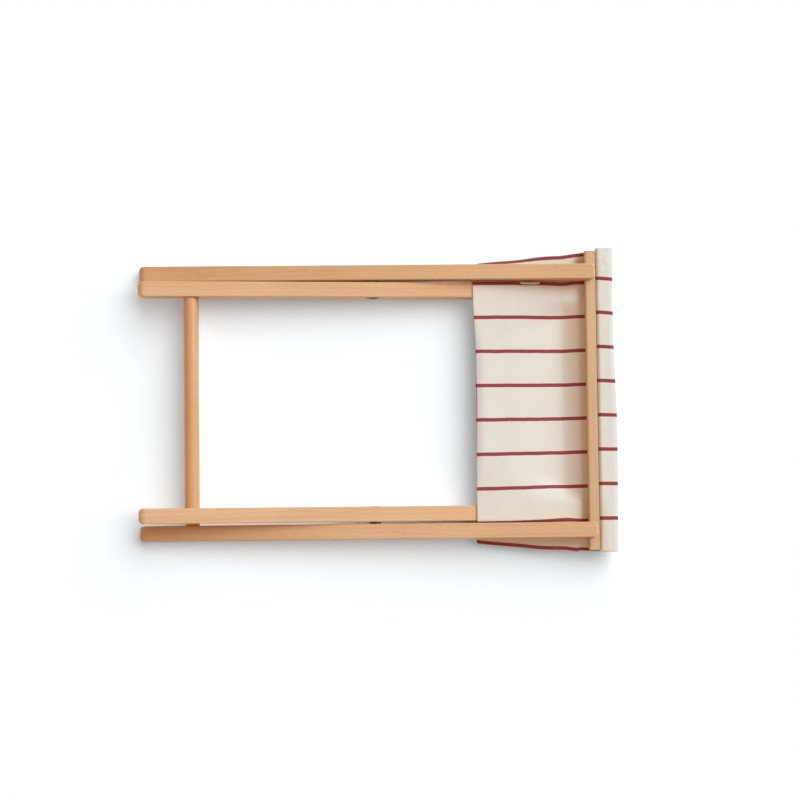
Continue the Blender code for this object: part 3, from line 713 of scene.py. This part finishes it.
def seatSection(x, layer):
    # half of the section at x, from the middle to the edge, as (y, z)
    upper = layer > 0
    over, under = clothHeights(x, layer)
    middle = (over + under) / 2
    along = min(max((x - foldX) / (railStart - foldX), 0.0), 1.0)
    belly = smoothStep(along, *cloth["sagRise"]) * (1 - smoothStep(along, *cloth["sagFall"]))
    sag = cloth["upperSag" if upper else "lowerSag"] * belly
    roll = cloth["foldRoll"] * (1 - smoothStep(along, 0.0, cloth["rollTo"])) if upper else 0.0
    flatTo = cloth["hollow"][0] + cloth["hollow"][1] * along
    shares = [step / cloth["topSteps"] for step in range(cloth["topSteps"] + 1)]
    points = [(innerLow.y * share, over + (roll - sag) * (1 - smoothStep(share, flatTo, 1.0))) for share in shares]
    near, far, lean, arris = cloth["layerNear"], cloth["layerFar"], cloth["lean"], leg["crisp"]
    dropY = outerLow.y - near - lean if upper else innerHigh.y + near + lean
    topY, footY = innerHigh.y - arris, outerLow.y + arris
    topRise = min(arris + (far if upper else near), over - middle)
    footRise = min(arris + (near if upper else far), middle - under)
    turns = [math.pi / 2 * step / cloth["bendSteps"] for step in range(cloth["bendSteps"] + 1)]
    for turn in turns:
        points.append((topY + (dropY - lean - topY) * math.sin(turn), over - topRise * (1 - math.cos(turn))))
    for turn in reversed(turns):
        points.append((footY + (dropY + lean - footY) * math.sin(turn), under + footRise * (1 - math.cos(turn))))
    points.append((footY + cloth["width"] / 2 - lineLength(points), under))
    return points


def alongLine(points, distances):
    # places at rising distances along a line
    places, start, index = [], 0.0, 0
    for distance in distances:
        while index < len(points) - 2 and start + math.dist(points[index], points[index + 1]) < distance:
            start += math.dist(points[index], points[index + 1])
            index += 1
        a, b = points[index], points[index + 1]
        share = (distance - start) / max(math.dist(a, b), 1e-9)
        places.append(tuple(p + (q - p) * share for p, q in zip(a, b)))
    return places


def stepsBetween(start, end, step):
    # even steps, without the end
    count = round(abs(end - start) / step)
    return [start + (end - start) * number / count for number in range(count)]


flatPlaces = [*stepsBetween(0.0, cloth["width"] / 2, cloth["across"]), cloth["width"] / 2]

foldEdge = {
    "leftPull": 0.0033, "rightPull": 0.0014, "middleIn": 0.0005,  # how far the fold strays from a straight line
    "leftFrom": (0.05, 0.128), "rightFrom": (0.03, 0.116), "middleTo": 0.05,
    "lower": -0.90,  # the lower layer makes room, so that the halves clear each other when the stool is open
    "stripIn": (0.0013, -0.0005),  # at the strips outside the legs, upper and lower
    "stripFrom": (0.146, 0.156),
    "fades": 0.045,
    "corner": 0.0040, "cornerFades": 0.012,
}


def cornerCut(corner, fromEdge):
    # how far a rounded corner falls short, this far from the edge
    into = min(max(corner - fromEdge, 0.0), corner)
    return corner - math.sqrt(corner ** 2 - into ** 2)


def foldShift(x, y, across, layer):
    reach = x - foldX
    pull = foldEdge["middleIn"] * (1 - smoothStep(abs(y), 0.0, foldEdge["middleTo"]))
    pull -= (foldEdge["leftPull"] * smoothStep(y, *foldEdge["leftFrom"])
             + foldEdge["rightPull"] * smoothStep(-y, *foldEdge["rightFrom"]))
    pull *= 1.0 if layer > 0 else foldEdge["lower"]
    inStrip = smoothStep(abs(across), *foldEdge["stripFrom"])
    stripIn = foldEdge["stripIn"][0 if layer > 0 else 1]
    shift = (pull * (1 - inStrip) + stripIn * inStrip) * (1 - smoothStep(reach, 0.0, foldEdge["fades"]))
    corner = cornerCut(foldEdge["corner"], cloth["width"] / 2 - abs(across))
    return shift + corner * (1 - smoothStep(reach, 0.0, foldEdge["cornerFades"]))


def noiseAt(along, across, wave):
    return noise.noise(Vector((along * wave[0], across * wave[1], wave[2])))


ripple = {"rise": 0.0002, "wave": (14, 9, 3.7), "fromLegs": 0.03, "fromRail": (0.004, 0.03)}
wrinkle = {"at": (0.243, 0.1615), "spread": (0.007, 0.0035), "depth": 0.0030}  # in the left strip, by the rail


def rippleAt(x, y, layer):
    free = smoothStep(innerLow.y - abs(y), 0.0, ripple["fromLegs"]) * smoothStep(railStart - x, *ripple["fromRail"])
    wave = ripple["rise"] * noiseAt(x, y, ripple["wave"]) * free
    away = [(place - middle) / size for place, middle, size in zip((x, y), wrinkle["at"], wrinkle["spread"])]
    edge = cloth["foldDrop"] * max(1 - (x - foldX) / cloth["foldSoft"], 0.0) ** 2 if layer > 0 else 0.0
    edge *= 1 - smoothStep(abs(y) / innerLow.y, cloth["hollow"][0], 1.0)
    return wave - wrinkle["depth"] * math.exp(-away[0] ** 2 - away[1] ** 2) - edge


strip = {
    "left": 0.52, "right": 0.06, "turnFades": (0.045, 0.098),  # how far the strips turn down, by the fold
    "under": 0.30, "underFrom": 0.01,  # and the lower layer more
    "aside": -0.0009, "asideFrom": 0.004, "belly": 0.0010, "bellyFrom": (0.045, 0.075),
    "gathered": 0.12, "gatheredFrom": (0.016, 0.006),  # ahead of the rail
}


def hangStrip(x, y, z, layer):
    # the part outside the legs turns down about the legs' outer edge
    out = abs(y) - outerHigh.y + leg["crisp"]
    if out <= 0:
        return y, z
    turn = strip["left" if y > 0 else "right"] * (1 - smoothStep(x - foldX, *strip["turnFades"]))
    turn += strip["under"] * (layer < 0) * smoothStep(railStart - x, 0.0, strip["underFrom"])
    aside = strip["aside"] - strip["belly"] * (y < 0) * smoothStep(x - foldX, *strip["bellyFrom"])
    aside *= smoothStep(out, 0.0, strip["asideFrom"])
    gathered = strip["gathered"] * (y < 0) * smoothStep(x, *[railStart - ahead for ahead in strip["gatheredFrom"]])
    return math.copysign(abs(y) - out * (1 - math.cos(turn) + gathered), y) + aside, z - out * math.sin(turn)


def seatPoint(x, y, z, across, layer):
    hung, low = hangStrip(x, y, z, layer)
    return Vector((x + foldShift(x, y, across, layer), hung, low + rippleAt(x, y, layer)))


def seatRow(x, layer):
    half = alongLine(seatSection(x, layer), flatPlaces)
    left, right = ([seatPoint(x, hand * y, z, across, layer) for (y, z), across in zip(half, flatPlaces)]
                   for hand in (1, -1))
    return right[:0:-1] + left


def seatRows(layer):
    # from the batten edge to the fold, then a quarter turn towards the other layer
    fineFrom = railStart - cloth["fineFrom"]
    places = stepsBetween(hinge.x, railStart, cloth["along"]) + stepsBetween(railStart, fineFrom, cloth["alongFine"])
    places += stepsBetween(fineFrom, foldX, cloth["along"]) + [foldX]
    rows = [seatRow(x, layer) for x in places]
    mineRow, facingRow = rows[-1], seatRow(foldX, -layer)
    for step in range(1, cloth["stepsLoop"] + 1):
        turn = math.pi / 2 * step / cloth["stepsLoop"]
        row = []
        for mine, facing in zip(mineRow, facingRow):
            apart = Vector((0, mine.y - facing.y, mine.z - facing.z))
            middle = mine - apart / 2 + apart.normalized() * cloth["loopGap"] / 2
            row.append(middle + (mine - middle) * math.cos(turn) - Vector((apart.length / 2 * math.sin(turn), 0, 0)))
        rows.append(row)
    return rows


def clothGrid(rows, alongAt, acrossAt, driftAt):
    # a grid laid on rows of points, with its flat places in metres in "flat" and the stripes' places in "woven"
    shape = bmesh.new()
    bmesh.ops.create_grid(shape, x_segments=len(rows) - 1, y_segments=len(rows[0]) - 1, size=1)
    flat, woven = (shape.loops.layers.uv.new(name) for name in ("flat", "woven"))
    spots = {}
    for vert in shape.verts:
        row = round((vert.co.x + 1) / 2 * (len(rows) - 1))
        column = round((vert.co.y + 1) / 2 * (len(rows[0]) - 1))
        spots[vert] = (alongAt[row], acrossAt[column], driftAt(rows[row][column]))
        vert.co = rows[row][column] + pivot
    for face in shape.faces:
        for loop in face.loops:
            along, across, strayed = spots[loop.vert]
            loop[flat].uv = (along, across)
            loop[woven].uv = (along, across + strayed)
    return shape


def addCloth(name, shape, material, body, replaced, thickness):
    piece = addPiece(name, shape, material, body, replaced, sharp=80)
    solid = piece.modifiers.new("thickness", "SOLIDIFY")
    solid.thickness, solid.offset, solid.use_even_offset = thickness, 0, True
    return piece


def runningLength(rows):
    middle = len(rows[0]) // 2
    total, places = 0.0, [0.0]
    for here, there in zip(rows, rows[1:]):
        total += (here[middle] - there[middle]).length
        places.append(total)
    return places


seatCanvas = makeCanvas("seatCanvas", cloth["width"] / 2)
sleeveCanvas = makeCanvas("sleeveCanvas")


def squashSeat(piece):
    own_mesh(piece)


stripeDrift = {  # of the stripes on the seat, towards the right
    "rail": 0.0005, "railRight": -0.0013, "rightFrom": (-0.05, 0.09), "fold": 0.0023,
}


def seatDrift(place):
    toFold = min(max((hinge.x - place.x) / cloth["toFold"], 0.0), 1.0)
    atRail = stripeDrift["rail"] + stripeDrift["railRight"] * smoothStep(-place.y, *stripeDrift["rightFrom"])
    return atRail + (stripeDrift["fold"] - atRail) * toFold


hemStitch = {"pitch": 0.0032, "length": 0.0022, "width": 0.00024, "rise": 0.00020, "fromEdge": 0.0060}


def makeHemStitches(node, rows):
    # each is a flattened bead of thread through the cloth
    shape = bmesh.new()
    column = round(hemStitch["fromEdge"] / cloth["width"] * (len(rows[0]) - 1))
    rise = cloth["thickness"] / 2 + hemStitch["rise"]
    for place in (column, len(rows[0]) - 1 - column):
        line = [tuple(row[place] + pivot) for row in rows]
        starts = stepsBetween(hemStitch["pitch"], lineLength(line) - hemStitch["pitch"], hemStitch["pitch"])
        ends = [at + hemStitch["length"] for at in starts]
        for start, end in zip(alongLine(line, starts), alongLine(line, ends)):
            way = Vector(end) - Vector(start)
            turn = way.to_track_quat("X", "Z").to_matrix().to_4x4()
            size = Matrix.Diagonal((way.length / 2, hemStitch["width"], rise, 1))
            middle = Matrix.Translation((Vector(start) + Vector(end)) / 2)
            bmesh.ops.create_uvsphere(shape, u_segments=6, v_segments=5, radius=1, matrix=middle @ turn @ size)
    piece = addPiece(node + "_stitches", shape, sewingThread, node, sharp=80)
    squashSeat(piece)
    return piece


def makeSeatHalf(node, layer, trim):
    rows = seatRows(layer)
    along = runningLength(rows)
    acrossRow = [-place for place in reversed(flatPlaces[1:])] + flatPlaces
    shape = clothGrid(rows, along, acrossRow, seatDrift)
    piece = addCloth(node + "_canvas", shape, seatCanvas, node, node, cloth["thickness"])
    squashSeat(piece)
    trim = [*trim, makeHemStitches(node, rows)]


sleeve = {
    "battenStart": 0.2592, "battenEnd": 0.2784, "railW": -0.010066, "height": 0.0112,  # the batten inside it
    "nose": 0.0045, "shoulder": 0.0030, "flap": 0.0055, "stand": 0.0006, "tuck": 0.0002,
    "arcSteps": 12, "step": 0.0008, "ends": (-0.1745, 0.1765),
    "drift": -0.0026, "skew": 0.0013, "skewFrom": (-0.10, 0.10),  # of its stripes
    "slack": (-0.0012, 0.0014),  # how far its outer side stands off, from its left end to below the middle
    "slackFrom": (-0.08, 0.03), "slackTo": (0.06, 0.17), "leftEnd": (0.13, 0.17), "leftLess": 0.5,
    "sides": 0.009,  # how far its slack and its lift come in from the two sides
    "creases": 0.0012, "creaseFrom": (0.140, 0.151), "creaseTo": (0.164, 0.171), "topFrom": (0.0005, 0.004),
    "waves": ((110, 190, 1.3), (210, 390, 4.1), (60, 28, 7.9)), "fineShare": 0.4, "softShare": 0.25,
    "lift": 0.0010, "liftFrom": (0.10, 0.135),
}


def roundedLine(corners, steps):
    # corners as (u, w, radius); each inner corner becomes an arc
    points = [corners[0][:2]]
    for before, here, after in zip(corners, corners[1:], corners[2:]):
        at = Vector(here[:2])
        back, ahead = (Vector(before[:2]) - at).normalized(), (Vector(after[:2]) - at).normalized()
        half = back.angle(ahead) / 2
        centre = at + (back + ahead).normalized() * here[2] / math.sin(half)
        first, last = (at + way * here[2] / math.tan(half) - centre for way in (back, ahead))
        for step in range(steps + 1):
            points.append(tuple(centre + first.lerp(last, step / steps).normalized() * here[2]))
    points.append(corners[-1][:2])
    return points


def sleevePoint(u, y, w):
    # loose cloth: it stands off the batten's outer side, and creases near the left leg
    start, end, sides = sleeve["battenStart"], sleeve["battenEnd"], sleeve["sides"]
    first, second = sleeve["slack"]
    slack = first + (second - first) * smoothStep(-y, *sleeve["slackFrom"])
    slack *= (1 - smoothStep(-y, *sleeve["slackTo"])) * (1 - sleeve["leftLess"] * smoothStep(y, *sleeve["leftEnd"]))
    spot = smoothStep(y, *sleeve["creaseFrom"]) * (1 - smoothStep(y, *sleeve["creaseTo"]))
    coarse, fine, soft = (abs(noiseAt(u, y, wave)) for wave in sleeve["waves"])
    crease = (coarse + sleeve["fineShare"] * fine) * spot + sleeve["softShare"] * soft
    flatTop = smoothStep(u, *[start + place for place in sleeve["topFrom"]])
    lift = sleeve["lift"] * smoothStep(-y, *sleeve["liftFrom"]) * smoothStep(u, start, start + sides)
    up = sleeve["creases"] * crease * flatTop + lift
    return Vector((u + slack * smoothStep(u, end - sides, end), y, w + up))


def makeSleeve(frameName):
    node = frameName + "_sleeve"
    stand, end, start = sleeve["stand"], sleeve["battenEnd"], sleeve["battenStart"]
    top = sleeve["railW"] + sleeve["height"]
    line = roundedLine([
        (end + stand, sleeve["railW"] - sleeve["tuck"], 0),
        (end + stand, top + stand, sleeve["nose"] + stand),
        (start - stand, top + stand, sleeve["shoulder"] + stand),
        (start - stand, top - sleeve["flap"], 0),
    ], sleeve["arcSteps"])
    length = lineLength(line)
    places = [*stepsBetween(0.0, length, sleeve["step"]), length]
    first, last = sleeve["ends"]
    acrossRow = [*stepsBetween(first, last, cloth["across"]), last]
    turn = framePlace(sideOf[frameName])

    def sleeveDrift(place):
        outward = smoothStep(place.x, start, end)
        return sleeve["drift"] + sleeve["skew"] * outward * smoothStep(place.y, *sleeve["skewFrom"])

    rows = [[turn @ sleevePoint(u, y, w) - pivot for y in acrossRow] for u, w in alongLine(line, places)]
    shape = clothGrid(rows, [-place for place in places], acrossRow, sleeveDrift)
    body = frameName + "_frame"
    piece = addCloth(node + "_canvas", shape, sleeveCanvas, body, node, cloth["thickness"])
    print("sheet:", node, "%.3f x %.3f m" % (last - first, length))


for frameName in ("outer", "inner"):
    makeSleeve(frameName)


tab = {"steps": (24, 6), "thickness": 0.0006, "corner": 0.0011, "bow": 0.0005, "slant": 0.9, "inset": 0.0003}


def makeTab():
    low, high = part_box("label_tab")
    shape = bmesh.new()
    bmesh.ops.create_grid(shape, x_segments=tab["steps"][0], y_segments=tab["steps"][1], size=0.5)
    flat = shape.loops.layers.uv.new("flat")
    spots = {}
    length, width = high.x - low.x, high.y - low.y
    for vert in shape.verts:
        share = vert.co.x + 0.5
        fromEnd = min(share, 1 - share) * length
        narrow = 1 - 2 / width * cornerCut(tab["corner"], fromEnd)
        bow = tab["bow"] * (1 - (2 * share - 1) ** 2)
        x = low.x + length * share
        out = width * (0.5 - vert.co.y) * narrow  # from the edge beside the leg
        y = high.y - tab["inset"] - out * math.cos(tab["slant"]) - bow
        z = high.z - tab["thickness"] / 2 - share * (high.z - low.z - tab["thickness"]) + out * math.sin(tab["slant"])
        spots[vert] = (x, y)
        vert.co = (x, y, z)
    for face in shape.faces:
        for loop in face.loops:
            loop[flat].uv = spots[loop.vert]
    piece = addCloth("label_tab_tape", shape, tabTape, "seat_front", "label_tab", tab["thickness"])
    squashSeat(piece)
    return piece


makeSeatHalf("seat_front", 1, [makeTab()])
makeSeatHalf("seat_back", -1, [])
print("cloth: seat halves, sleeves, tab")


# Studio: floor, light and the camera from the photograph

studio = {
    "floor": colour(0.91, 0.965, 1.0), "floorClear": 0.26,  # how much of the white backdrop shows through the floor
    "gapAt": 0.1425, "gapHalf": (0.005, 0.0075),  # but none of it between the legs by the seat, which paints shade on the floor under that gap
    "gapFrom": (-0.08, -0.02), "gapTo": (0.26, 0.27),
    "world": 0.04,
    "cameraAt": (-0.1035, -0.1363, 2.0223), "cameraTurn": (3.9877, -3.6158, -0.5917),
    "focalPixels": 1743.71, "imagePixels": 800,
}
lamps = {  # strength, angle, where it comes from, tone, and whether it lights the floor alone or all but the floor
    "floorSun": (4.38, 70, (0.62, 0.62, 1.0), (1.0, 1.0, 1.0), "INCLUDE"),
    "keySun": (3.63, 36, (1.15, 0.80, 1.0), (0.66, 0.885, 1.0), "EXCLUDE"),
    "warmFill": (1.53, 140, (-0.35, -0.2, 1.0), (1.0, 0.70, 0.50), "EXCLUDE"),
}


def seenRays(owner):
    # 1 for rays that show the backdrop itself: from the camera, mirrored or through glass
    rays = addNode(owner, "ShaderNodeLightPath").outputs
    seen = rays["Is Camera Ray"]
    for kind in ("Is Glossy Ray", "Is Transmission Ray"):
        seen = mathNode(owner, "MAXIMUM", seen, rays[kind])
    return seen


def makeFloor():
    shape = bmesh.new()
    bmesh.ops.create_grid(shape, x_segments=1, y_segments=1, size=6)
    material, shader = newMaterial("floorPaper", roughness=0.95, specular=0.0)
    shader.inputs["Base Color"].default_value = studio["floor"]
    along, across = splitNode(material, objectNode(material))[:2]
    # painted shade: in a strip under the gap between the legs the backdrop is kept out, so the floor stays darker
    # there
    fromGap = mathNode(material, "SUBTRACT", mathNode(material, "ABSOLUTE", across), studio["gapAt"])
    gapShade = rangeNode(material, mathNode(material, "ABSOLUTE", fromGap), *studio["gapHalf"], 1.0, 0.0)
    gapShade = mathNode(material, "MULTIPLY", gapShade, rangeNode(material, along, *studio["gapFrom"]))
    gapShade = mathNode(material, "MULTIPLY", gapShade, rangeNode(material, along, *studio["gapTo"], 1.0, 0.0))
    share = mathNode(material, "MULTIPLY", seenRays(material), studio["floorClear"])
    share = mathNode(material, "MULTIPLY", share, mathNode(material, "SUBTRACT", 1.0, gapShade))
    clear = addNode(material, "ShaderNodeBsdfTransparent").outputs[0]
    mixed = addNode(material, "ShaderNodeMixShader", {0: share, 1: shader.outputs[0], 2: clear}).outputs[0]
    feedShader(material, material.node_tree.nodes["Material Output"], {"Surface": mixed})
    floor = addShape("floor", shape, material)
    return floor


def makeLight(name, floor):
    strength, angle, comesFrom, tone, linkState = lamps[name]
    lamp = bpy.data.lights.new(name, "SUN")
    lamp.energy, lamp.angle, lamp.color = strength, math.radians(angle), tone
    sun = addObject(name, lamp)
    sun.rotation_euler = Vector(comesFrom).to_track_quat("Z", "Y").to_euler()
    reach = bpy.data.collections.new(name + "Reach")
    reach.objects.link(floor)
    reach.collection_objects[0].light_linking.link_state = linkState
    sun.light_linking.receiver_collection = reach


def makeWorld():
    world = bpy.data.worlds.new("studio")
    world.use_nodes = True
    background = world.node_tree.nodes["Background"]
    background.inputs["Color"].default_value = colour(1, 1, 1)
    level = addNode(world, "ShaderNodeMix", {0: seenRays(world), 2: studio["world"], 3: 1.0}, data_type="FLOAT")
    feedShader(world, background, {"Strength": level.outputs[0]})
    bpy.context.scene.world = world


def makeCamera():
    data = bpy.data.cameras.new("photoCamera")
    data.sensor_width = 36
    data.lens = studio["focalPixels"] * data.sensor_width / studio["imagePixels"]
    camera = addObject("photoCamera", data)
    camera.location = studio["cameraAt"]
    camera.rotation_euler = [math.radians(angle) for angle in studio["cameraTurn"]]
    bpy.context.scene.camera = camera


floor = makeFloor()
for name in lamps:
    makeLight(name, floor)
makeWorld()
makeCamera()
bpy.context.scene.view_settings.view_transform = "Standard"
print("studio: floor, light, camera")
